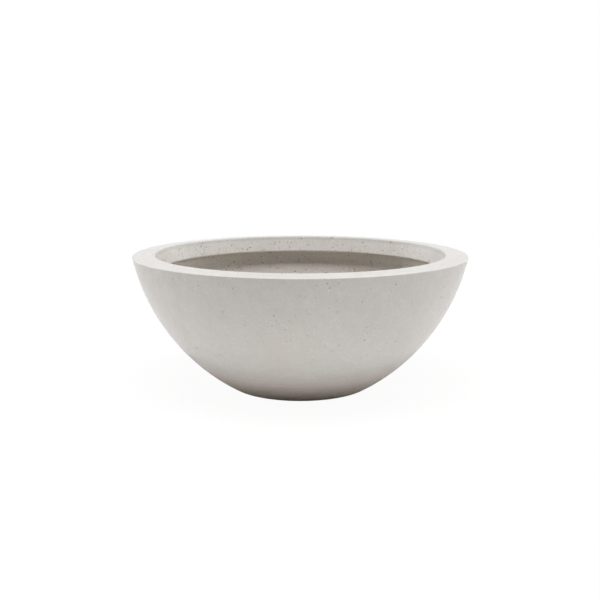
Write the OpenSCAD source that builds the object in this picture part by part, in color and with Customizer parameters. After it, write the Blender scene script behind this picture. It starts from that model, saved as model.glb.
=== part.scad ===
/* [Bowl] */
// Diameter over the outer edge of the rim
bowl_d = 500; // [420:5:620]
// Height of the outer edge of the rim above the ground
rim_h = 200; // [170:1:230]
// Diameter of the base, where the wall's arc would meet the ground
base_d = 215; // [180:1:240]
// Lean of the outer wall from upright at the rim, in degrees
rim_lean = 11.5; // [8:0.5:15]
// Radius of the corner between the base and the outer wall
base_corner_r = 7; // [3:0.5:14]

/* [Rim and lip] */
// Width of the rim's top, from its outer edge to its inner edge
rim_w = 33; // [28:1:48]
// Rise of the rim's top from its outer edge to its inner edge
rim_rise = 2.4; // [0.5:0.1:5]
// Radius of the rim's softened inner edge
rim_edge_r = 3.5; // [1.5:0.5:6]
// Depth of the lip inside the bowl, from the rim's inner edge down
lip_drop = 26; // [16:1:34]
// Lean of the lip's inner face from upright, in degrees
lip_lean = 14; // [6:1:22]
// Drop of the lip's underside, from its inner edge out to the wall
lip_haunch = 3; // [1:0.5:8]

/* [Wall and floor] */
// Thickness of the whole wall below the lip
wall_t = 13; // [10:0.5:17]
// Thickness of the whole floor
floor_t = 16; // [12:0.5:24]
// Radius between the floor and the wall, inside the bowl
floor_corner_r = 40; // [15:1:70]

/* [Layers] */
// Thickness of the outer face coat
coat_t = 3; // [2:0.5:4.5]
// Thickness of the bond between the face coat and the layers behind it
bond_t = 0.05; // [0.03:0.01:0.2]
// Thickness of the glass-fibre mat
mat_t = 1; // [0.6:0.1:2]
// Number of gores that the wall's mat is laid in
mat_gores = 8; // [5:1:12]
// Gap between neighbouring gores, where the inner coat keys through
mat_gap = 3; // [2:0.5:6]
// Cover between the upper edge of the gores and the outer edge of the rim
mat_cover = 12; // [8:1:24]
// Height of the lower edge of the gores above the face coat
mat_foot = 5; // [3:0.5:12]
// Distance from the edge of the base mat to the corner of the face coat
base_mat_margin = 8; // [4:1:20]

/* [Drain] */
// Diameter of the drain hole
drain_d = 26; // [20:1:36]
// Width of solid coat between the drain hole and the base mat
drain_cover = 9; // [5:1:16]
// Radial clearance of the plug's stem in the drain hole
plug_clearance = 0.1; // [0.05:0.01:0.2]
// Width of the plug's flange beyond the edge of the hole
plug_flange_w = 8; // [5:0.5:12]
// Thickness of the plug's flange
plug_flange_t = 3.5; // [2.5:0.5:6]
// Radius of the upper edge of the plug's flange
plug_edge_r = 1.2; // [0.6:0.1:2]
// Height of the stem's end above the ground
plug_foot_gap = 2; // [1:0.5:5]
// Length of the bevel at the end of the stem
plug_bevel = 2; // [1:0.5:3]
// Thickness of the stem's wall round its hollow
plug_wall = 5; // [3.5:0.5:7]
// Depth of the finger dish in the top of the flange
plug_dish = 1; // [0.5:0.1:1.5]

/* [Hidden] */
$fn = 180;

// The outer wall is one arc in section: it leaves the rim at rim_lean and ends on the base's edge
rim_r = bowl_d / 2;
base_r = base_d / 2;
flare = rim_r - base_r;
arc_r = (flare * flare + rim_h * rim_h) / (2 * (flare * cos(rim_lean) - rim_h * sin(rim_lean)));
arc_x = rim_r - arc_r * cos(rim_lean);
arc_z = rim_h + arc_r * sin(rim_lean);

// Radius of the wall's surface that lies off inside the outer one, at height z
function wall_at(off, z) = arc_x + sqrt(pow(arc_r - off, 2) - pow(arc_z - z, 2));
// Height of the rim's sloping top at radius x
function rim_at(x) = rim_h + (rim_r - x) * rim_rise / rim_w;

// Corners of the lip: the rim's inner edge, and the lower edge of the lip's inner face
lip_top = [rim_r - rim_w, rim_h + rim_rise];
lip_low = [lip_top.x - lip_drop * tan(lip_lean), lip_top.y - lip_drop];
// Height at which the lip's underside meets the wall
lip_root_z = lip_low.y - lip_haunch;

// The mat lies behind the face coat and its bond, in the inner coat, whose keys start key_bite behind it
mat_off = coat_t + bond_t;
mat_top_z = rim_h - mat_cover;
key_bite = mat_t;
base_mat_r = wall_at(mat_off, mat_off) - base_mat_margin;

// The plug stands on the floor by its flange, with its stem down the drain hole
drain_r = drain_d / 2;
stem_r = drain_r - plug_clearance;
flange_r = drain_r + plug_flange_w;
flange_top_z = floor_t + plug_flange_t;

// Extra reach of a cutting shape past what it cuts
over = 2;

// Half section of all that lies inside the wall's surface at off, from floor_z up to the rim's top.
// A section that is cut away is raised past the top, so that it leaves no film there
module section(off, floor_z, raise = 0) {
  edge_x = rim_r + over;
  intersection() {
    translate([arc_x, arc_z]) circle(r = arc_r - off);
    polygon([[0, floor_z], [edge_x, floor_z], [edge_x, rim_at(edge_x) + raise], [0, rim_at(0) + raise]]);
  }
}

// What a corner of radius r takes off such a section, between its floor and its wall
module section_corner(off, floor_z, r) {
  corner_z = floor_z + r;
  corner_x = wall_at(off + r, corner_z);
  lean = atan2(corner_z - arc_z, corner_x - arc_x);
  difference() {
    polygon([
      [corner_x, corner_z],
      [corner_x, floor_z - r],
      [corner_x + 2 * r * cos(lean), corner_z + 2 * r * sin(lean)],
    ]);
    translate([corner_x, corner_z]) circle(r = r);
  }
}

module outer_section() {
  difference() {
    section(0, 0);
    section_corner(0, 0, base_corner_r);
  }
}

module cavity_section() {
  difference() {
    section(wall_t, floor_t, over);
    section_corner(wall_t, floor_t, floor_corner_r);
  }
}

// Upright bore through the floor on the bowl's axis
module bore(r) {
  translate([0, 0, -over]) cylinder(r = r, h = floor_t + 2 * over);
}

// Outer coat: the bowl's outside, its underside and the outer edge of the rim
module face_coat() {
  color([0.75, 0.73, 0.70])
  difference() {
    rotate_extrude() difference() {
      outer_section();
      section(coat_t, coat_t, over);
    }
    bore(drain_r);
  }
}

// Half section of the round of mat in the base, or of its bed, which is cut out from below
module base_mat_section(cut = 0) {
  inner_r = drain_r + drain_cover;
  translate([inner_r, mat_off - cut]) square([base_mat_r - inner_r, mat_t + cut]);
}

// Half section of a ring t thick behind the face coat, as high as the mat goes up the wall, or of its bed
module wall_ring_section(t, cut = 0) {
  foot_z = mat_off + mat_foot;
  intersection() {
    difference() {
      section(mat_off - cut, 0);
      section(mat_off + t, 0, over);
    }
    translate([0, foot_z]) square([rim_r, mat_top_z - foot_z]);
  }
}

// Upright slots that part the ring of mat into gores
module gore_gaps() {
  for (i = [0 : mat_gores - 1])
    rotate(i * 360 / mat_gores) translate([0, -mat_gap / 2, 0]) cube([rim_r, mat_gap, rim_h]);
}

// Round of glass-fibre mat in the base
module base_mat() {
  color([0.86, 0.88, 0.80]) rotate_extrude() base_mat_section();
}

// Gores of glass-fibre mat up the wall
module wall_mats() {
  color([0.90, 0.92, 0.84])
  difference() {
    rotate_extrude() wall_ring_section(mat_t);
    gore_gaps();
  }
}

// Inner coat: it is the bowl's inside and floor, and its keys fill the gaps between the gores
module backing_coat() {
  color([0.68, 0.66, 0.62]) {
    difference() {
      rotate_extrude() difference() {
        section(mat_off, mat_off);
        cavity_section();
        base_mat_section(cut = over);
        wall_ring_section(mat_t, cut = over);
      }
      bore(drain_r);
    }
    intersection() {
      rotate_extrude() wall_ring_section(mat_t + key_bite);
      gore_gaps();
    }
  }
}

// What the rounding of the rim's inner edge takes off the lip
module rim_edge_corner() {
  slope = atan2(rim_rise, rim_w);
  half = (90 - slope + lip_lean) / 2;
  reach = rim_edge_r / tan(half);
  on_top = [lip_top.x + reach * cos(slope), lip_top.y - reach * sin(slope)];
  on_face = [lip_top.x - reach * sin(lip_lean), lip_top.y - reach * cos(lip_lean)];
  centre = on_top - rim_edge_r * [sin(slope), cos(slope)];
  difference() {
    polygon([centre, on_top, lip_top + [-over, over], on_face]);
    translate(centre) circle(r = rim_edge_r);
  }
}

// Thick lip: a ring bonded inside the top of the wall
module rim_collar() {
  color([0.82, 0.80, 0.77])
  rotate_extrude() difference() {
    intersection() {
      section(wall_t, floor_t);
      polygon([
        lip_low,
        [wall_at(wall_t, lip_root_z), lip_root_z],
        [rim_r, lip_root_z],
        [rim_r, rim_h],
        lip_top + [0, over],
        lip_top,
      ]);
    }
    rim_edge_corner();
  }
}

// Rubber stopper: a flange on the floor and a hollow stem in the drain hole
module drain_plug() {
  color([0.16, 0.16, 0.16])
  rotate_extrude() difference() {
    union() {
      translate([0, floor_t]) square([flange_r, plug_flange_t - plug_edge_r]);
      translate([0, floor_t]) square([flange_r - plug_edge_r, plug_flange_t]);
      translate([flange_r - plug_edge_r, flange_top_z - plug_edge_r]) circle(r = plug_edge_r);
      polygon([
        [0, plug_foot_gap],
        [stem_r - plug_bevel / 2, plug_foot_gap],
        [stem_r, plug_foot_gap + plug_bevel],
        [stem_r, floor_t + plug_flange_t / 2],
        [0, floor_t + plug_flange_t / 2],
      ]);
    }
    translate([0, -over]) square([stem_r - plug_wall, floor_t + over]);
    translate([0, flange_top_z - plug_dish]) square([stem_r, plug_dish + over]);
  }
}

face_coat();
base_mat();
wall_mats();
backing_coat();
rim_collar();
drain_plug();
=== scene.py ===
import math

import bpy
from mathutils import Matrix, Vector


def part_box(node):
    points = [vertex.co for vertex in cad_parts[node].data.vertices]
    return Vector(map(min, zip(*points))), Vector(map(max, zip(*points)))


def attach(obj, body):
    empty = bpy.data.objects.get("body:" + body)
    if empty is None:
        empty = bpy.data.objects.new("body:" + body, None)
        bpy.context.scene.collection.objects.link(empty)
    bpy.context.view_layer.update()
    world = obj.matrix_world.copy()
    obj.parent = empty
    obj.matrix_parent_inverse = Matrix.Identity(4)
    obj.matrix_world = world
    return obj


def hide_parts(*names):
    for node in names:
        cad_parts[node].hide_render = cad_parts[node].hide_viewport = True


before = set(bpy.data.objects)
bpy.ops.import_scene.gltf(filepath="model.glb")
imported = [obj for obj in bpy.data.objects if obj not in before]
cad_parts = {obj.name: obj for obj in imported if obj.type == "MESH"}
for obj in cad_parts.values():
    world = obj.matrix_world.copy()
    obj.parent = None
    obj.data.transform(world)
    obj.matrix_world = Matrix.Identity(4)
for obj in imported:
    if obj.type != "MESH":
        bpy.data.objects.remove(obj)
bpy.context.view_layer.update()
print("frame loaded:", sorted(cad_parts))


# The bowl's sizes and outline

def lowest(nodeName, axis):  # how low a node of the frame reaches along an axis, to 0.1 mm
    return round(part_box(nodeName)[0]["xyz".index(axis)], 4)


def highest(nodeName, axis, digits=4):
    return round(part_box(nodeName)[1]["xyz".index(axis)], digits)


# Everything is in metres, with the bowl's axis on Z and its base on Z = 0.
# The outline of every coat is worked out from these sizes.
bowl = {
    "rimRadius": highest("face_coat", "x", 3),  # of its outer edge, to 1 mm: the circle has flat sides
    "rimHeight": 0.200,
    "baseRadius": 0.1075,       # where the wall's arc would meet the ground
    "rimLean": math.radians(11.5),              # of the wall from upright, where it meets the rim
    "rimWidth": 0.033,
    "rimRise": 0.0024,          # from the rim's outer edge to its inner edge
    "lipRoot": lowest("rim_collar", "z"),       # height at which the lip's underside meets the wall
    "coat": 0.003,              # the face coat
    "wall": 0.013,              # both coats together
    "floor": 0.016,
    "drainRadius": 0.013,
    "turns": 288,               # steps round the axis
    "settling": 8,              # rounds in which the height of a point on the rim is found
}
samePlace = 0.00001             # points closer together than this are one

# The outer wall is one arc: it leaves the rim at rimLean and ends on the base's edge
flare = bowl["rimRadius"] - bowl["baseRadius"]
spread = flare * math.cos(bowl["rimLean"]) - bowl["rimHeight"] * math.sin(bowl["rimLean"])
arcRadius = (flare ** 2 + bowl["rimHeight"] ** 2) / (2 * spread)
arcR = bowl["rimRadius"] - arcRadius * math.cos(bowl["rimLean"])
arcZ = bowl["rimHeight"] + arcRadius * math.sin(bowl["rimLean"])


def wallRadius(depth, z):  # radius at height z of the surface that lies depth inside the outer one
    return arcR + math.sqrt((arcRadius - depth) ** 2 - (arcZ - z) ** 2)


def rimZ(r):  # height of the rim's sloping top
    return bowl["rimHeight"] + (bowl["rimRadius"] - r) * bowl["rimRise"] / bowl["rimWidth"]


def rimPoint(depth):  # where the surface at that depth meets the rim's top
    z = bowl["rimHeight"]
    for _ in range(bowl["settling"]):
        z = rimZ(wallRadius(depth, z))
    return wallRadius(depth, z), z


def straight(start, end, steps):
    return [tuple(Vector(start).lerp(Vector(end), i / steps)) for i in range(steps + 1)]


def curve(centre, radius, fromAngle, toAngle, steps):
    angles = [fromAngle + (toAngle - fromAngle) * i / steps for i in range(steps + 1)]
    return [(centre[0] + radius * math.cos(a), centre[1] + radius * math.sin(a)) for a in angles]


def wallCurve(depth, fromZ, toZ, steps):
    radius = arcRadius - depth
    ends = [math.asin((z - arcZ) / radius) for z in (fromZ, toZ)]
    return curve((arcR, arcZ), radius, *ends, steps)


def floorCorner(depth, floorZ, radius, steps):  # the round between a floor and the wall, from the floor up
    centre = wallRadius(depth + radius, floorZ + radius), floorZ + radius
    return curve(centre, radius, -math.pi / 2, math.atan2(centre[1] - arcZ, centre[0] - arcR), steps)


def softened(before, corner, after, radius, steps):  # the arc that takes off a corner between two runs
    corner = Vector(corner)
    back, on = (Vector(before) - corner).normalized(), (Vector(after) - corner).normalized()
    half = back.angle(on) / 2
    centre = corner + (back + on).normalized() * radius / math.sin(half)
    start = corner + back * radius / math.tan(half) - centre
    turn = math.copysign(math.pi - 2 * half, on.cross(back))
    return [tuple(centre + Matrix.Rotation(turn * i / steps, 2) @ start) for i in range(steps + 1)]


# Node helpers, for Geometry Nodes and materials alike

def addNode(tree, kind, inputs=None, **settings):
    node = tree.nodes.new(kind)
    for key, value in settings.items():
        setattr(node, key, value)
    for key, value in (inputs or {}).items():
        if isinstance(value, bpy.types.NodeSocket):
            tree.links.new(value, node.inputs[key])
        else:
            node.inputs[key].default_value = value
    return node


def outOf(tree, kind, inputs=None, **settings):  # the first output of a new node
    return addNode(tree, kind, inputs, **settings).outputs[0]


def calc(tree, operation, *values):
    return outOf(tree, "ShaderNodeMath", dict(enumerate(values)), operation=operation)


def ramp(tree, value, fromLow, fromHigh, toLow=0.0, toHigh=1.0):  # one range of values turned into another
    return outOf(tree, "ShaderNodeMapRange", {
        "Value": value, "From Min": fromLow, "From Max": fromHigh, "To Min": toLow, "To Max": toHigh,
    })


def noise(tree, place, scale, detail, roughness, stretch=None, shift=None):
    if stretch or shift:
        inputs = {"Vector": place, "Scale": stretch or (1, 1, 1), "Location": shift or (0, 0, 0)}
        place = outOf(tree, "ShaderNodeMapping", inputs)
    inputs = {"Vector": place, "Scale": scale, "Detail": detail, "Roughness": roughness}
    return outOf(tree, "ShaderNodeTexNoise", inputs)


# The Geometry Nodes tree that casts a coat

# It turns an outline round the axis and opens air-bubble pits in what it makes.
# The outline comes in as a closed row of points, each with a pitWeight from 0 to 1.
castInputs = {
    "Outline": "Geometry", "Turns": "Int", "Outline Points": "Int",
    "Pit Spacing": "Float", "Pit Density": "Float", "Smallest Pit": "Float", "Largest Pit": "Float",
    "Rarity Of Large Pits": "Float", "Cluster Scale": "Float", "Cluster Shift": "Vector", "Seed": "Int",
    "Material": "Material",
}
casting = {
    "nudge": 0.25,              # keeps a whole number from being cut down to the one below it
    "cluster": (1.5, 0.5),      # detail and roughness of the noise that pits and sand grains gather by
    "clusterFrom": 0.40,        # where it is below this they lie thinnest
    "clusterTo": 0.64,          # and where it is above this they lie thickest
    "fewestPits": 0.05,         # how thick the pits lie away from the clusters, against inside them
    "bubbleSegments": 8,
    "bubbleRings": 4,
    "leastStretch": (0.75, 0.75, 0.7),      # of a bubble, along each of its axes
    "mostStretch": (1.15, 1.15, 1.1),
    "stretchSeed": 11,
    "twistSeed": 12,
    "crispAngle": math.radians(50),         # edges that fold by more stay crisp
}


def storeFloat(tree, geometry, name, value, domain):
    inputs = {"Geometry": geometry, "Name": name, "Value": value}
    return outOf(tree, "GeometryNodeStoreNamedAttribute", inputs, data_type="FLOAT", domain=domain)


def pitWeight(tree):
    return outOf(tree, "GeometryNodeInputNamedAttribute", {"Name": "pitWeight"}, data_type="FLOAT")


def randomShare(tree, seed):  # a number from 0 to 1
    inputs = {2: 0.0, 3: 1.0, "Seed": seed}
    return addNode(tree, "FunctionNodeRandomValue", inputs, data_type="FLOAT").outputs[1]


def randomVector(tree, least, most, seed):
    inputs = {0: least, 1: most, "Seed": seed}
    return outOf(tree, "FunctionNodeRandomValue", inputs, data_type="FLOAT_VECTOR")


def sampleOutline(tree, given, value, step, kind):
    inputs = {"Geometry": given["Outline"], "Value": value, "Index": step}
    return outOf(tree, "GeometryNodeSampleIndex", inputs, data_type=kind, domain="POINT")


def turnOutline(tree, given):  # a grid with a row of vertices for each turn, bent round the axis and closed
    nudge = casting["nudge"]
    rows = calc(tree, "ADD", given["Turns"], 1.0)
    columns = calc(tree, "ADD", given["Outline Points"], 1.0)
    grid = outOf(tree, "GeometryNodeMeshGrid", {"Vertices X": rows, "Vertices Y": columns})
    index = outOf(tree, "GeometryNodeInputIndex")
    turn = calc(tree, "FLOOR", calc(tree, "DIVIDE", calc(tree, "ADD", index, nudge), columns))
    column = calc(tree, "SUBTRACT", index, calc(tree, "MULTIPLY", turn, columns))
    step = calc(tree, "MODULO", calc(tree, "ADD", column, nudge), given["Outline Points"])
    turned = calc(tree, "MODULO", calc(tree, "ADD", turn, nudge), given["Turns"])
    share = calc(tree, "DIVIDE", calc(tree, "SUBTRACT", turned, nudge), given["Turns"])
    angle = calc(tree, "MULTIPLY", share, math.tau)

    place = outOf(tree, "GeometryNodeInputPosition")
    point = sampleOutline(tree, given, place, step, "FLOAT_VECTOR")
    weight = sampleOutline(tree, given, pitWeight(tree), step, "FLOAT")
    parts = addNode(tree, "ShaderNodeSeparateXYZ", {0: point}).outputs
    bent = outOf(tree, "ShaderNodeCombineXYZ", {
        "X": calc(tree, "MULTIPLY", parts["X"], calc(tree, "COSINE", angle)),
        "Y": calc(tree, "MULTIPLY", parts["X"], calc(tree, "SINE", angle)),
        "Z": parts["Z"],
    })
    weighted = storeFloat(tree, grid, "pitWeight", weight, "POINT")
    shaped = outOf(tree, "GeometryNodeSetPosition", {"Geometry": weighted, "Position": bent})
    return outOf(tree, "GeometryNodeMergeByDistance", {"Geometry": shaped, "Distance": samePlace})


def openPits(tree, given, coat):  # pits gather in clusters, most are small and a few are large
    place = outOf(tree, "GeometryNodeInputPosition")
    shifted = outOf(tree, "ShaderNodeVectorMath", {0: place, 1: given["Cluster Shift"]}, operation="ADD")
    cluster = noise(tree, shifted, given["Cluster Scale"], *casting["cluster"])
    gathered = ramp(tree, cluster, casting["clusterFrom"], casting["clusterTo"], casting["fewestPits"])
    thick = calc(tree, "MULTIPLY", gathered, pitWeight(tree))
    plain = storeFloat(tree, coat, "pit", 0.0, "FACE")
    points = outOf(tree, "GeometryNodeDistributePointsOnFaces", {
        "Mesh": plain, "Distance Min": given["Pit Spacing"], "Density Max": given["Pit Density"],
        "Density Factor": thick, "Seed": given["Seed"],
    }, distribute_method="POISSON")

    rare = calc(tree, "POWER", randomShare(tree, given["Seed"]), given["Rarity Of Large Pits"])
    span = calc(tree, "SUBTRACT", given["Largest Pit"], given["Smallest Pit"])
    size = calc(tree, "MULTIPLY_ADD", rare, span, given["Smallest Pit"])
    stretch = randomVector(tree, casting["leastStretch"], casting["mostStretch"], casting["stretchSeed"])
    scale = outOf(tree, "ShaderNodeVectorMath", {0: stretch, "Scale": size}, operation="SCALE")
    twist = randomVector(tree, (0.0, 0.0, 0.0), (math.tau,) * 3, casting["twistSeed"])
    bubble = outOf(tree, "GeometryNodeMeshUVSphere", {
        "Radius": 1.0, "Segments": casting["bubbleSegments"], "Rings": casting["bubbleRings"],
    })
    bubbles = outOf(tree, "GeometryNodeInstanceOnPoints",
                    {"Points": points, "Instance": bubble, "Rotation": twist, "Scale": scale})
    solid = outOf(tree, "GeometryNodeRealizeInstances", {"Geometry": bubbles})
    cutter = storeFloat(tree, solid, "pit", 1.0, "FACE")
    return outOf(tree, "GeometryNodeMeshBoolean", {"Mesh 1": plain, "Mesh 2": cutter},
                 operation="DIFFERENCE", solver="MANIFOLD")


def finishCoat(tree, given, coat):  # smooth faces with crisp edges, in the coat's material
    fold = addNode(tree, "GeometryNodeInputMeshEdgeAngle").outputs["Unsigned Angle"]
    crisp = calc(tree, "GREATER_THAN", fold, casting["crispAngle"])
    faces = {"Geometry": coat, "Shade Smooth": True}
    smooth = outOf(tree, "GeometryNodeSetShadeSmooth", faces, domain="FACE")
    edges = {"Geometry": smooth, "Selection": crisp, "Shade Smooth": False}
    edged = outOf(tree, "GeometryNodeSetShadeSmooth", edges, domain="EDGE")
    clean = outOf(tree, "GeometryNodeRemoveAttribute", {"Geometry": edged, "Name": "pitWeight"})
    real = outOf(tree, "GeometryNodeRealizeInstances", {"Geometry": clean})
    return outOf(tree, "GeometryNodeSetMaterial", {"Geometry": real, "Material": given["Material"]})


def castCoatTree():
    tree = bpy.data.node_groups.new("castCoat", "GeometryNodeTree")
    for name, kind in castInputs.items():
        tree.interface.new_socket(name, in_out="INPUT", socket_type="NodeSocket" + kind)
    tree.interface.new_socket("Coat", in_out="OUTPUT", socket_type="NodeSocketGeometry")
    given = addNode(tree, "NodeGroupInput").outputs
    pitted = openPits(tree, given, turnOutline(tree, given))
    addNode(tree, "NodeGroupOutput", {"Coat": finishCoat(tree, given, pitted)})
    return tree


def setInputs(modifier, values):
    for item in modifier.node_group.interface.items_tree:
        if item.item_type == "SOCKET" and item.in_out == "INPUT" and item.name in values:
            modifier[item.identifier] = values[item.name]


coatTree = castCoatTree()


def growing(start, end, power=1.0):  # a pit weight that goes from start to end along a stretch
    return lambda share: start + (end - start) * share ** power


# One coat from the stretches of its outline, each with its pit weight.
# A stretch that starts where the last one ended drops its first point.
def castCoat(name, stretches, pits, material):
    points, weights = [], []
    for stretch, weight in stretches:
        for i, point in enumerate(stretch):
            if points and (Vector(point) - Vector(points[-1])).length < samePlace:
                continue
            points.append(point)
            weights.append(weight(i / (len(stretch) - 1)) if callable(weight) else weight)
    count = len(points)
    mesh = bpy.data.meshes.new(name + "Outline")
    mesh.from_pydata([(r, 0, z) for r, z in points], [(i, (i + 1) % count) for i in range(count)], [])
    mesh.attributes.new("pitWeight", "FLOAT", "POINT").data.foreach_set("value", weights)
    piece = bpy.data.objects.new(name, mesh)
    bpy.context.scene.collection.objects.link(piece)
    modifier = piece.modifiers.new("castCoat", "NODES")
    modifier.node_group = coatTree
    setInputs(modifier, {**pits, "Turns": bowl["turns"], "Outline Points": count, "Material": material})
    graph = bpy.context.evaluated_depsgraph_get()
    made = bpy.data.meshes.new_from_object(piece.evaluated_get(graph), preserve_all_data_layers=True,
                                           depsgraph=graph)
    piece.modifiers.clear()
    piece.data = made
    made.name = name
    inPits = sum(1 for item in made.attributes["pit"].data if item.value > 0.5)
    triangles = sum(len(face.vertices) - 2 for face in made.polygons)
    print(f"{name}: {count} outline points, {triangles} triangles, {inPits} faces in pits")
    return piece


# Material helpers

def startMaterial(name):
    material = bpy.data.materials.new(name)
    material.use_nodes = True
    tree = material.node_tree
    place = addNode(tree, "ShaderNodeTexCoord").outputs["Object"]
    return material, tree, tree.nodes["Principled BSDF"], place


def mixColour(tree, factor, one, two, blend="MIX"):
    inputs = {0: factor, 6: one, 7: two}
    return addNode(tree, "ShaderNodeMix", inputs, data_type="RGBA", blend_type=blend).outputs[2]


def swing(tree, value, amount):  # a noise value turned into a factor round 1
    return calc(tree, "MULTIPLY_ADD", value, 2 * amount, 1 - amount)


def bumped(tree, height, strength, depth, onto=None):
    inputs = {"Height": height, "Strength": strength, "Distance": depth}
    if onto is not None:
        inputs["Normal"] = onto
    return outOf(tree, "ShaderNodeBump", inputs)


def feedShader(tree, shader, colour, roughness, normal):
    tree.links.new(colour, shader.inputs["Base Color"])
    tree.links.new(roughness, shader.inputs["Roughness"])
    tree.links.new(normal, shader.inputs["Normal"])


# The fiberclay of all three coats. Each noise is given by its scale, detail and roughness.

fiberclay = {
    "cool": (0.598, 0.590, 0.577, 1),
    "warm": (0.603, 0.587, 0.571, 1),
    "patches": (8.0, 2.0, 0.5),             # from cool to warm
    "patchShift": (3.1, 1.7, 0.4),
    "patchFrom": 0.36,
    "patchTo": 0.64,

    "broad": (10.0, 3.0, 0.55),             # the tone swings over patches of 100 mm
    "broadTone": 0.07,
    "fine": (65.0, 4.0, 0.6),               # over 15 mm
    "fineTone": 0.06,
    "mottle": (260.0, 2.0, 0.6),            # over 4 mm
    "mottleTone": 0.05,
    "grain": (1250.0, 2.0, 0.6),            # over 0.8 mm
    "grainTone": 0.10,

    "streaks": (1.0, 2.0, 0.5),             # faint level streaks low on the wall
    "streakStretch": (16, 16, 330),
    "streakTone": 0.20,
    "streakTop": 0.10,                      # none show above this height
    "streakFull": 0.03,                     # they are at their strongest below this one

    "speckScale": 230.0,
    "speckEdge": 0.30,                      # a sand grain fades out here, as a share of its cell
    "speckCore": 0.16,
    "fewestSpecks": 0.1,                    # how thick they lie away from the clusters, against inside them
    "darkShare": 0.7,                       # number of dark grains against pale ones
    "paleSpeck": 0.20,                      # how much paler or darker than the clay a grain is
    "darkSpeck": 0.13,
    "pitPaintedShade": 0.50,                       # painted shade: colour inside a pit, against the surface's
    "rimTopPaintedShade": (0.943, 0.929, 0.915, 1),     # painted shade: the rim's top is tinted darker against the light it catches from above

    "rough": 0.26,
    "scuffedRough": 0.85,                   # low on the wall and on the base
    "scuffFoot": 0.045,                     # it fades between these heights
    "scuffTop": 0.075,
    "roughPatches": (90.0, 3.0, 0.5),
    "roughSwing": 0.10,
    "specular": 0.10,
    "sheen": 0.08,
    "sheenRough": 0.35,

    "hills": (34.0, 3.0, 0.5),              # the hand-finished face is slightly uneven
    "unevenStrength": 0.35,
    "unevenDepth": 0.0006,
    "grit": (420.0, 3.0, 0.6),              # sand between the size of the hills and the grain
    "gritShare": 1.4,                       # its height against the grain's
    "grainStrength": 0.5,
    "grainDepth": 0.00012,
}


def tintByHeight(tree, height, tints):  # tints come as pairs of a height and a colour, from the lowest up
    colour = tints[0][1]
    for (low, _), (high, tint) in zip(tints, tints[1:]):
        colour = mixColour(tree, ramp(tree, height, low, high), colour, tint)
    return colour


def clayColour(tree, place, height, tints):
    patches = noise(tree, place, *fiberclay["patches"], shift=fiberclay["patchShift"])
    warmth = ramp(tree, patches, fiberclay["patchFrom"], fiberclay["patchTo"])
    colour = mixColour(tree, warmth, fiberclay["cool"], fiberclay["warm"])
    return mixColour(tree, 1.0, colour, tintByHeight(tree, height, tints), "MULTIPLY")


def clayStreaks(tree, place, height):  # level streaks where the coat was laid up, fading out up the wall
    low = ramp(tree, height, fiberclay["streakTop"], fiberclay["streakFull"])
    streak = noise(tree, place, *fiberclay["streaks"], stretch=fiberclay["streakStretch"])
    streaked = calc(tree, "MULTIPLY", calc(tree, "SUBTRACT", streak, 0.5), fiberclay["streakTone"])
    return calc(tree, "MULTIPLY_ADD", streaked, low, 1.0)


def claySpecks(tree, place, speckShare, pits):  # pale and dark sand grains, more of them by the pits
    cells = addNode(tree, "ShaderNodeTexVoronoi", {"Vector": place, "Scale": fiberclay["speckScale"]}).outputs
    near = ramp(tree, cells["Distance"], fiberclay["speckEdge"], fiberclay["speckCore"])
    pick = addNode(tree, "ShaderNodeSeparateColor", {0: cells["Color"]}).outputs
    gather = noise(tree, place, pits["Cluster Scale"], *casting["cluster"], shift=pits["Cluster Shift"])
    share = ramp(tree, gather, casting["clusterFrom"], casting["clusterTo"],
                 fiberclay["fewestSpecks"] * speckShare, speckShare)
    pale = calc(tree, "LESS_THAN", pick["Red"], share)
    dark = calc(tree, "LESS_THAN", pick["Green"], calc(tree, "MULTIPLY", share, fiberclay["darkShare"]))
    speck = calc(tree, "SUBTRACT", calc(tree, "MULTIPLY", pale, fiberclay["paleSpeck"]),
                 calc(tree, "MULTIPLY", dark, fiberclay["darkSpeck"]))
    return calc(tree, "MULTIPLY_ADD", speck, near, 1.0)


def clayRoughness(tree, place, height):
    scuffed = ramp(tree, height, fiberclay["scuffFoot"], fiberclay["scuffTop"],
                   fiberclay["scuffedRough"], fiberclay["rough"])
    patches = noise(tree, place, *fiberclay["roughPatches"])
    return calc(tree, "MULTIPLY_ADD", patches, fiberclay["roughSwing"], scuffed)


def clayBump(tree, place, grain, uneven):  # sand grain over a slightly uneven face
    hills = noise(tree, place, *fiberclay["hills"])
    wide = bumped(tree, hills, fiberclay["unevenStrength"] * uneven, fiberclay["unevenDepth"])
    grit = calc(tree, "MULTIPLY", noise(tree, place, *fiberclay["grit"]), fiberclay["gritShare"])
    sand = calc(tree, "ADD", grain, grit)
    return bumped(tree, sand, fiberclay["grainStrength"], fiberclay["grainDepth"], wide)


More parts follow.
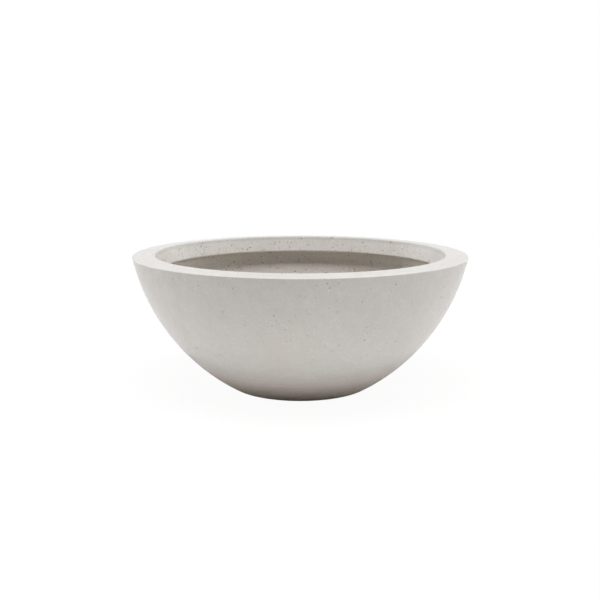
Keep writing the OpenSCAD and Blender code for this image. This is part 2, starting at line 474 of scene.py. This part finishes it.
def fiberclayMaterial(name, finish, pits):
    material, tree, shader, place = startMaterial(name)
    height = addNode(tree, "ShaderNodeSeparateXYZ", {0: place}).outputs["Z"]
    grain = noise(tree, place, *fiberclay["grain"])
    broad = swing(tree, noise(tree, place, *fiberclay["broad"]), fiberclay["broadTone"])
    fine = swing(tree, noise(tree, place, *fiberclay["fine"]), fiberclay["fineTone"])
    mottle = swing(tree, noise(tree, place, *fiberclay["mottle"]), fiberclay["mottleTone"] * finish["mottle"])
    grained = swing(tree, grain, fiberclay["grainTone"])
    small = calc(tree, "MULTIPLY", mottle, grained)
    tone = calc(tree, "MULTIPLY", calc(tree, "MULTIPLY", broad, fine), small)
    tone = calc(tree, "MULTIPLY", tone, clayStreaks(tree, place, height))
    tone = calc(tree, "MULTIPLY", tone, claySpecks(tree, place, finish["speckShare"], pits))
    # painted shade: the pits' faces are darkened
    pit = addNode(tree, "ShaderNodeAttribute", attribute_name="pit").outputs["Fac"]
    tone = calc(tree, "MULTIPLY", tone, calc(tree, "MULTIPLY_ADD", pit, fiberclay["pitPaintedShade"] - 1, 1.0))
    colour = clayColour(tree, place, height, finish["tints"])
    toned = outOf(tree, "ShaderNodeVectorMath", {0: colour, "Scale": tone}, operation="SCALE")
    feedShader(tree, shader, toned, clayRoughness(tree, place, height),
               clayBump(tree, place, grain, finish["uneven"]))
    shader.inputs["Specular IOR Level"].default_value = fiberclay["specular"]
    shader.inputs["Sheen Weight"].default_value = fiberclay["sheen"]
    shader.inputs["Sheen Roughness"].default_value = fiberclay["sheenRough"]
    return material


# The face coat: the bowl's outside, its underside and the outer edge of the rim

faceCoat = {
    "skin": 0.0001,             # how far the dressed wall lies inside the CAD wall
    "baseCorner": 0.007,
    "rimEdge": 0.0008,          # the rim's crisp outer edge
    "rimEdgeRoom": 1.5,         # what the wall leaves free for that edge, in radii of it
    "drainEdge": 0.0010,
    "underPits": 0.2,           # pit weights from the underside out and up
    "cornerPits": 0.25,
    "footPits": 0.12,
    "topPits": 1.0,
    "pitsGrowth": 1.8,          # how late they grow up the wall
    "edgePits": 0.5,
    "rimPits": 0.1,
}
faceCoatPits = {
    "Pit Spacing": 0.0030, "Pit Density": 13500.0, "Smallest Pit": 0.00025, "Largest Pit": 0.0011,
    "Rarity Of Large Pits": 2.6, "Cluster Scale": 12.0, "Cluster Shift": (0.65, 0.97, 1.63), "Seed": 5,
}
faceCoatFinish = {
    "tints": [                  # painted shade: a faint brown cast, darkest where the wall nears the ground, standing for the shadow there
        (0.006, (0.86, 0.80, 0.72, 1)),
        (0.024, (0.99, 0.93, 0.90, 1)),
        (0.036, (1.08, 1.01, 1.00, 1)),
        (0.056, (1.00, 1.00, 1.00, 1)),
        (0.1980, (1.00, 1.00, 1.00, 1)),
        # painted shade on the rim's top
        (0.1998, fiberclay["rimTopPaintedShade"]),
    ],
    "speckShare": 0.12,         # share of the cells that hold a pale sand grain where they gather
    "mottle": 1.2,              # strength of the mottle
    "uneven": 1.0,              # strength of the hills
}


def faceCoatOutline():
    drain, skin, coat, edgeRadius = bowl["drainRadius"], faceCoat["skin"], bowl["coat"], faceCoat["rimEdge"]
    corner = floorCorner(skin, 0, faceCoat["baseCorner"], steps=8)
    top = rimPoint(skin)
    wall = wallCurve(skin, corner[-1][1], top[1] - faceCoat["rimEdgeRoom"] * edgeRadius, steps=72)
    border = rimPoint(coat)
    edge = softened(wall[-1], top, border, edgeRadius, steps=4)
    hole = softened((drain, coat), (drain, 0), corner[0], faceCoat["drainEdge"], steps=3)
    return [
        (hole, 0),
        (straight(hole[-1], corner[0], steps=10), faceCoat["underPits"]),
        (corner, faceCoat["cornerPits"]),
        (wall, growing(faceCoat["footPits"], faceCoat["topPits"], faceCoat["pitsGrowth"])),
        (edge, faceCoat["edgePits"]),
        (straight(edge[-1], border, steps=2), faceCoat["rimPits"]),
        (wallCurve(coat, border[1], coat, steps=20), 0),
        (straight((wallRadius(coat, coat), coat), (drain, coat), steps=6), 0),
    ]


clayFace = fiberclayMaterial("fiberclayFace", faceCoatFinish, faceCoatPits)
bowlFaceCoat = castCoat("bowlFaceCoat", faceCoatOutline(), faceCoatPits, clayFace)


# The inner coat: the inside of the wall, the floor, and the beds that the glass-fibre mats lie in

innerCoat = {
    "matBed": 0.0011,           # depth of the beds
    "baseBedFrom": 0.022,
    "baseBedTo": 0.0988,
    "wallBedFrom": 0.0080,      # heights of the wall's bed
    "wallBedTo": 0.1881,
    "floorCorner": 0.040,
    "drainEdge": 0.0012,
    "pitsFrom": 0.0015,         # how far below the lip's root the pits start
    "litTop": 0.153,            # pits are thickest between these heights
    "litFoot": 0.128,
    "shadePits": 0.5,           # pit weights from the lip down
    "litPits": 1.0,
    "wallPits": 0.55,
    "footPits": 0.35,
    "floorPits": 0.3,
}
innerCoatPits = {
    "Pit Spacing": 0.0032, "Pit Density": 44000.0, "Smallest Pit": 0.00035, "Largest Pit": 0.0015,
    "Rarity Of Large Pits": 2.0, "Cluster Scale": 18.0, "Cluster Shift": (1.23, 1.56, 1.13), "Seed": 3,
}
innerCoatFinish = {             # the laid-up inside is yellower than the moulded face; its tints paint shade low down and light under the lip
    "tints": [
        # painted shade: darker low inside, where the light from above falls
        (0.140, (0.91, 0.875, 0.830, 1)),
        (0.165, (1.12, 1.080, 1.010, 1)),   # painted light: it is paler in the shade of the lip
        (0.175, (1.12, 1.080, 1.010, 1)),
        (0.190, fiberclay["rimTopPaintedShade"]),       # its edge shows as a ring in the rim's top; there it takes the rim top's painted shade
    ],
    "speckShare": 1.0,
    "mottle": 2.6,
    "uneven": 2.0,
}


def innerCoatOutline():
    drain, coat, wall, floor = (bowl[key] for key in ("drainRadius", "coat", "wall", "floor"))
    bed, bedFrom, bedTo = (innerCoat[key] for key in ("matBed", "wallBedFrom", "wallBedTo"))
    baseFrom, baseTo = innerCoat["baseBedFrom"], innerCoat["baseBedTo"]
    litTop, litFoot, root = innerCoat["litTop"], innerCoat["litFoot"], bowl["lipRoot"]
    downTheWall = growing(innerCoat["wallPits"], innerCoat["footPits"])
    outside, inside = rimPoint(coat), rimPoint(wall)
    corner = floorCorner(wall, floor, innerCoat["floorCorner"], steps=16)[::-1]
    hole = softened(corner[-1], (drain, floor), (drain, coat), innerCoat["drainEdge"], steps=3)
    return [
        (straight((drain, coat), (baseFrom, coat), steps=1), 0),
        (straight((baseFrom, coat + bed), (baseTo, coat + bed), steps=4), 0),
        (straight((baseTo, coat), (wallRadius(coat, coat), coat), steps=1), 0),
        (wallCurve(coat, coat, bedFrom, steps=1), 0),
        (wallCurve(coat + bed, bedFrom, bedTo, steps=18), 0),
        (wallCurve(coat, bedTo, outside[1], steps=2), 0),
        (straight(outside, inside, steps=3), 0),
        (wallCurve(wall, inside[1], root, steps=4), 0),
        (wallCurve(wall, root - innerCoat["pitsFrom"], litTop, steps=7), innerCoat["shadePits"]),
        (wallCurve(wall, litTop, litFoot, steps=9), innerCoat["litPits"]),
        (wallCurve(wall, litFoot, corner[0][1], steps=28), downTheWall),
        (corner, innerCoat["footPits"]),
        (straight(corner[-1], hole[0], steps=14), innerCoat["floorPits"]),
        (hole, 0),
    ]


clayInside = fiberclayMaterial("fiberclayInside", innerCoatFinish, innerCoatPits)
bowlInnerCoat = castCoat("bowlInnerCoat", innerCoatOutline(), innerCoatPits, clayInside)


# The rim collar: the thick lip inside the top of the wall

rimCollar = {
    "lipDrop": 0.026,
    "lipLean": math.radians(14),
    "innerEdge": 0.0035,        # round of the rim's inner edge
    "lowerEdge": 0.0016,        # round of the lip's lower edge
    "underPits": 0.5,           # pit weights of the lip's underside and lower edge
    "topPits": 0.05,            # of the rim's top where it meets the inner edge
    "edgePits": 0.55,           # of the inner edge where it meets the lip's inner face
    "facePits": 1.0,
}
rimCollarPits = {
    "Pit Spacing": 0.0032, "Pit Density": 42000.0, "Smallest Pit": 0.00030, "Largest Pit": 0.0014,
    "Rarity Of Large Pits": 2.0, "Cluster Scale": 22.0, "Cluster Shift": (2.54, 0.37, 2.20), "Seed": 8,
}
rimCollarFinish = {
    "tints": [
        (0.1950, (1.13, 1.105, 1.080, 1)),  # painted light: the lip's inner face is tinted paler than the rim's top
        # painted shade on the rim's top
        (0.1995, fiberclay["rimTopPaintedShade"]),
    ],
    "speckShare": 0.80,
    "mottle": 1.8,
    "uneven": 1.0,
}


def rimCollarOutline():
    wall, root = bowl["wall"], bowl["lipRoot"]
    top = bowl["rimRadius"] - bowl["rimWidth"], bowl["rimHeight"] + bowl["rimRise"]
    low = top[0] - rimCollar["lipDrop"] * math.tan(rimCollar["lipLean"]), top[1] - rimCollar["lipDrop"]
    foot = wallRadius(wall, root), root
    border = rimPoint(wall)
    upper = softened(border, top, low, rimCollar["innerEdge"], steps=10)
    lower = softened(top, low, foot, rimCollar["lowerEdge"], steps=5)
    return [
        (lower, rimCollar["underPits"]),
        (straight(lower[-1], foot, steps=5), rimCollar["underPits"]),
        (wallCurve(wall, root, border[1], steps=8), 0),
        (straight(border, upper[0], steps=10), growing(0, rimCollar["topPits"])),
        (upper, growing(rimCollar["topPits"], rimCollar["edgePits"])),
        (straight(upper[-1], lower[0], steps=12), rimCollar["facePits"]),
    ]


clayLip = fiberclayMaterial("fiberclayLip", rimCollarFinish, rimCollarPits)
bowlRimCollar = castCoat("bowlRimCollar", rimCollarOutline(), rimCollarPits, clayLip)
print("coats cast")


# The drain plug: a ribbed rubber stopper with a dished and ringed flange

drainPlug = {
    "flangeRadius": highest("drain_plug", "x"),
    "flangeTop": highest("drain_plug", "z"),
    "flangeEdge": 0.0012,
    "flangeFoot": 0.0005,       # bevel of its lower edge
    "dishRadius": 0.0128,
    "dishDepth": 0.0010,
    "dishSteps": 10,
    "rings": (0.0148, 0.0168, 0.0188),      # radii of the fine grooves in the flange
    "ringDepth": 0.0003,
    "stemRadius": 0.0129,
    "ribs": 3,
    "ribSteps": 12,
    "ribGroove": 0.0005,
    "ribsBelow": 0.001,         # they start this far below the floor
    "footGap": lowest("drain_plug", "z"),
    "bevel": 0.0018,            # of the stem's end
    "hollowRadius": 0.0079,
    "hollowTop": 0.0160,
    "hollowMouth": 0.0005,      # bevel of the hollow's mouth
    "hollowRound": 0.002,
    "turns": 96,
    "crispAngle": math.radians(40),
}
rubber = {
    "black": (0.018, 0.018, 0.018, 1),
    "grey": (0.055, 0.053, 0.050, 1),       # the bloom on old rubber
    "bloom": (140.0, 4.0, 0.6),
    "rough": 0.45,
    "bloomRough": 0.25,         # added where it has bloomed
    "skin": (2600.0, 2.0, 0.5),
    "skinStrength": 0.4,
    "skinDepth": 0.00008,
}


def plugFlange():  # from the middle of the dish out to the flange's lower edge
    given = drainPlug
    top, radius, edge = given["flangeTop"], given["flangeRadius"], given["flangeEdge"]
    depth = given["ringDepth"]
    shares = [i / given["dishSteps"] for i in range(given["dishSteps"] + 1)]
    dish = [(given["dishRadius"] * share, top - given["dishDepth"] * (1 - share ** 2)) for share in shares]
    rings = []
    for r in given["rings"]:
        rings += [(r - depth, top), (r, top - depth), (r + depth, top)]
    rim = curve((radius - edge, top - edge), edge, math.pi / 2, 0, steps=6)
    floor, bevel = bowl["floor"], given["flangeFoot"]
    return dish + rings + rim + [(radius, floor + bevel), (radius - bevel, floor)]


def plugStem():  # from the floor down, its ribs running in and out like a wave
    given = drainPlug
    stem, count = given["stemRadius"], given["ribs"] * given["ribSteps"]
    start, end = bowl["floor"] - given["ribsBelow"], given["footGap"] + given["bevel"]
    outline = [(stem, bowl["floor"])]
    for i in range(count + 1):
        wave = 0.5 - 0.5 * math.cos(math.tau * given["ribs"] * i / count)
        outline.append((stem - given["ribGroove"] * wave, start + (end - start) * i / count))
    return outline + [(stem - given["bevel"] / 2, given["footGap"])]


def plugHollow():  # from the stem's end up into the hollow and in to the axis
    foot, radius, top = drainPlug["footGap"], drainPlug["hollowRadius"], drainPlug["hollowTop"]
    mouth, rounding = drainPlug["hollowMouth"], drainPlug["hollowRound"]
    roof = curve((radius - rounding, top - rounding), rounding, 0, math.pi / 2, steps=5)
    return [(radius + mouth, foot), (radius, foot + mouth)] + roof + [(0, top)]


# A closed piece turned round the axis, from the outline's first point on the axis to its last one there.
# Its faces point outwards because the outline runs out over the top and back in underneath.
def spin(name, outline, turns, material):
    first, *row, last = outline
    count = len(row)
    corners = [(0, 0, first[1]), (0, 0, last[1])]
    faces = []
    for i in range(turns):
        angle = math.tau * i / turns
        here, on = 2 + i * count, 2 + (i + 1) % turns * count  # first corner of this step and of the next one
        corners += [(r * math.cos(angle), r * math.sin(angle), z) for r, z in row]
        faces.append((0, here, on))
        faces += [(here + j, here + j + 1, on + j + 1, on + j) for j in range(count - 1)]
        faces.append((here + count - 1, 1, on + count - 1))
    mesh = bpy.data.meshes.new(name)
    mesh.from_pydata(corners, [], faces)
    mesh.shade_smooth()
    mesh.set_sharp_from_angle(angle=drainPlug["crispAngle"])
    mesh.materials.append(material)
    piece = bpy.data.objects.new(name, mesh)
    bpy.context.scene.collection.objects.link(piece)
    print(f"{name}: {len(mesh.polygons)} faces")
    return piece


def rubberMaterial(name):
    material, tree, shader, place = startMaterial(name)
    bloom = noise(tree, place, *rubber["bloom"])
    rough = calc(tree, "MULTIPLY_ADD", bloom, rubber["bloomRough"], rubber["rough"])
    skin = noise(tree, place, *rubber["skin"])
    feedShader(tree, shader, mixColour(tree, bloom, rubber["black"], rubber["grey"]), rough,
               bumped(tree, skin, rubber["skinStrength"], rubber["skinDepth"]))
    return material


drainPlugBody = spin("drainPlugBody", plugFlange() + plugStem() + plugHollow(), drainPlug["turns"],
                     rubberMaterial("plugRubber"))


# The mats stay as they come from the frame, sealed between the coats, with their own material

glassMat = {
    "fibre": (0.80, 0.84, 0.74, 1),
    "gap": (0.46, 0.47, 0.42, 1),
    "strands": (260.0, 1.0, 0.5),
    "strandStretch": (0.05, 1, 1),          # they are long along one axis
    "strandAngles": (0.2, 1.2, 2.3),        # the chopped strands lie in several directions
    "angleShares": (1.0, 0.4, 1.3),         # what each angle turns them by about X, Y and Z
    "gapTo": 0.45,
    "fibreFrom": 0.70,
    "gapRough": 0.60,
    "fibreShine": -0.25,                    # added to that roughness on the strands
    "strandStrength": 0.7,
    "strandDepth": 0.0004,
}


def glassMatMaterial(name):
    material, tree, shader, place = startMaterial(name)
    strands = None
    for angle in glassMat["strandAngles"]:
        rotation = [angle * share for share in glassMat["angleShares"]]
        turned = outOf(tree, "ShaderNodeMapping", {"Vector": place, "Rotation": rotation})
        layer = noise(tree, turned, *glassMat["strands"], stretch=glassMat["strandStretch"])
        strands = layer if strands is None else calc(tree, "MAXIMUM", strands, layer)
    fibre = ramp(tree, strands, glassMat["gapTo"], glassMat["fibreFrom"])
    rough = calc(tree, "MULTIPLY_ADD", fibre, glassMat["fibreShine"], glassMat["gapRough"])
    feedShader(tree, shader, mixColour(tree, fibre, glassMat["gap"], glassMat["fibre"]), rough,
               bumped(tree, strands, glassMat["strandStrength"], glassMat["strandDepth"]))
    return material


matMaterial = glassMatMaterial("glassFibreMat")
for nodeName in ("base_mat", "wall_mats"):
    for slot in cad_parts[nodeName].material_slots:
        slot.link = "OBJECT"
        slot.material = matMaterial

# What each piece rides on, what it stands for, and the name of its finish in the frame
fittings = [
    (bowlFaceCoat, "bowl", "face_coat", "fiberclay_face"),
    (bowlInnerCoat, "bowl", "backing_coat", "fiberclay_inside"),
    (bowlRimCollar, "bowl", "rim_collar", "fiberclay_face"),
    (drainPlugBody, "plug", "drain_plug", "plug_rubber"),
]
for piece, body, nodeName, slotName in fittings:
    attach(piece, body)
    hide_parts(nodeName)
print("pieces fitted to the frame")


# The studio: a white floor that keeps the bowl's shadow, soft light and the camera

studio = {
    "white": (1, 1, 1, 1),
    "floorSize": 8.0,
    "floorColour": (0.945, 0.920, 0.888, 1),
    "shownNear": 0.95,          # share of plain white that the camera sees in the floor by the bowl
    "nearRadius": 0.45,         # that share grows from here, and the floor is plain white from farRadius on
    "farRadius": 1.40,
    "underRadius": 0.09,        # under the base, seen through the drain hole, it isn't shown white at all
    "worldStrength": 0.036,
    "cameraPlace": (0, -1.250, 0.3599),
    "cameraPitch": math.radians(10.53),
    "cameraShift": -0.0005,     # the bowl stands a third of a pixel right of the middle
    "lens": 49.83,
}
softboxes = {
    "frontOverhead": {"place": (0, -1.2, 4.4), "target": (0, -1.2, 0.2), "size": (3.0, 1.6), "power": 190},
    "middleOverhead": {"place": (0, 0, 4.4), "target": (0, 0, 0.2), "size": (3.0, 0.8), "power": 47},
    "leftSoftbox": {"place": (-2.2, 0, 0.75), "target": (0, 0, 0.2), "size": (2.2, 1.3), "power": 6.7},
    "rightSoftbox": {"place": (2.2, 0, 0.75), "target": (0, 0, 0.2), "size": (2.2, 1.3), "power": 10.8},
    "leftRearSoftbox": {"place": (-1.9, 1.3, 0.6), "target": (0, 0, 0.2), "size": (1.6, 1.1), "power": 19.9},
    "rightRearSoftbox": {"place": (1.9, 1.3, 0.6), "target": (0, 0, 0.2), "size": (1.6, 1.1), "power": 15.6},
}


def shownWhite(tree):  # 1 for the rays that see the studio itself, or see it in a gloss or through glass
    rays = addNode(tree, "ShaderNodeLightPath").outputs
    seen = calc(tree, "ADD", rays["Is Camera Ray"], rays["Is Glossy Ray"])
    return calc(tree, "MINIMUM", calc(tree, "ADD", seen, rays["Is Transmission Ray"]), 1.0)


def floorMaterial(name):
    material, tree, shader, place = startMaterial(name)
    tree.nodes.remove(shader)
    matte = outOf(tree, "ShaderNodeBsdfDiffuse", {"Color": studio["floorColour"]})
    white = outOf(tree, "ShaderNodeEmission", {"Color": studio["white"]})
    away = addNode(tree, "ShaderNodeVectorMath", {0: place}, operation="LENGTH").outputs["Value"]
    share = calc(tree, "MULTIPLY", shownWhite(tree),
                 ramp(tree, away, studio["nearRadius"], studio["farRadius"], studio["shownNear"]))
    share = calc(tree, "MULTIPLY", share, calc(tree, "GREATER_THAN", away, studio["underRadius"]))
    mixed = outOf(tree, "ShaderNodeMixShader", {0: share, 1: matte, 2: white})
    tree.links.new(mixed, tree.nodes["Material Output"].inputs["Surface"])
    return material


def layFloor():
    half = studio["floorSize"] / 2
    corners = [(-half, -half, 0), (half, -half, 0), (half, half, 0), (-half, half, 0)]
    mesh = bpy.data.meshes.new("studioFloor")
    mesh.from_pydata(corners, [], [(0, 1, 2, 3)])
    mesh.materials.append(floorMaterial("studioWhite"))
    floor = bpy.data.objects.new("studioFloor", mesh)
    bpy.context.scene.collection.objects.link(floor)


def lightWorld():
    world = bpy.data.worlds.new("studioWorld")
    world.use_nodes = True
    tree = world.node_tree
    tree.nodes.remove(tree.nodes["Background"])
    lit, white = (
        outOf(tree, "ShaderNodeBackground", {"Color": studio["white"], "Strength": strength})
        for strength in (studio["worldStrength"], 1.0)
    )
    mixed = outOf(tree, "ShaderNodeMixShader", {0: shownWhite(tree), 1: lit, 2: white})
    tree.links.new(mixed, tree.nodes["World Output"].inputs["Surface"])
    bpy.context.scene.world = world


def hangSoftbox(name, box):
    lamp = bpy.data.lights.new(name, "AREA")
    lamp.shape = "RECTANGLE"
    lamp.size, lamp.size_y = box["size"]
    lamp.energy = box["power"]
    light = bpy.data.objects.new(name, lamp)
    light.location = box["place"]
    light.rotation_euler = (Vector(box["target"]) - light.location).to_track_quat("-Z", "Y").to_euler()
    light.visible_camera = False
    bpy.context.scene.collection.objects.link(light)


def placeCamera():
    lens = bpy.data.cameras.new("studioCamera")
    lens.lens = studio["lens"]
    lens.shift_x = studio["cameraShift"]
    camera = bpy.data.objects.new("studioCamera", lens)
    camera.location = studio["cameraPlace"]
    camera.rotation_euler = (math.pi / 2 - studio["cameraPitch"], 0, 0)
    bpy.context.scene.collection.objects.link(camera)
    bpy.context.scene.camera = camera


layFloor()
lightWorld()
for boxName, box in softboxes.items():
    hangSoftbox(boxName, box)
placeCamera()
bpy.context.scene.view_settings.view_transform = "Standard"
print("studio lit")
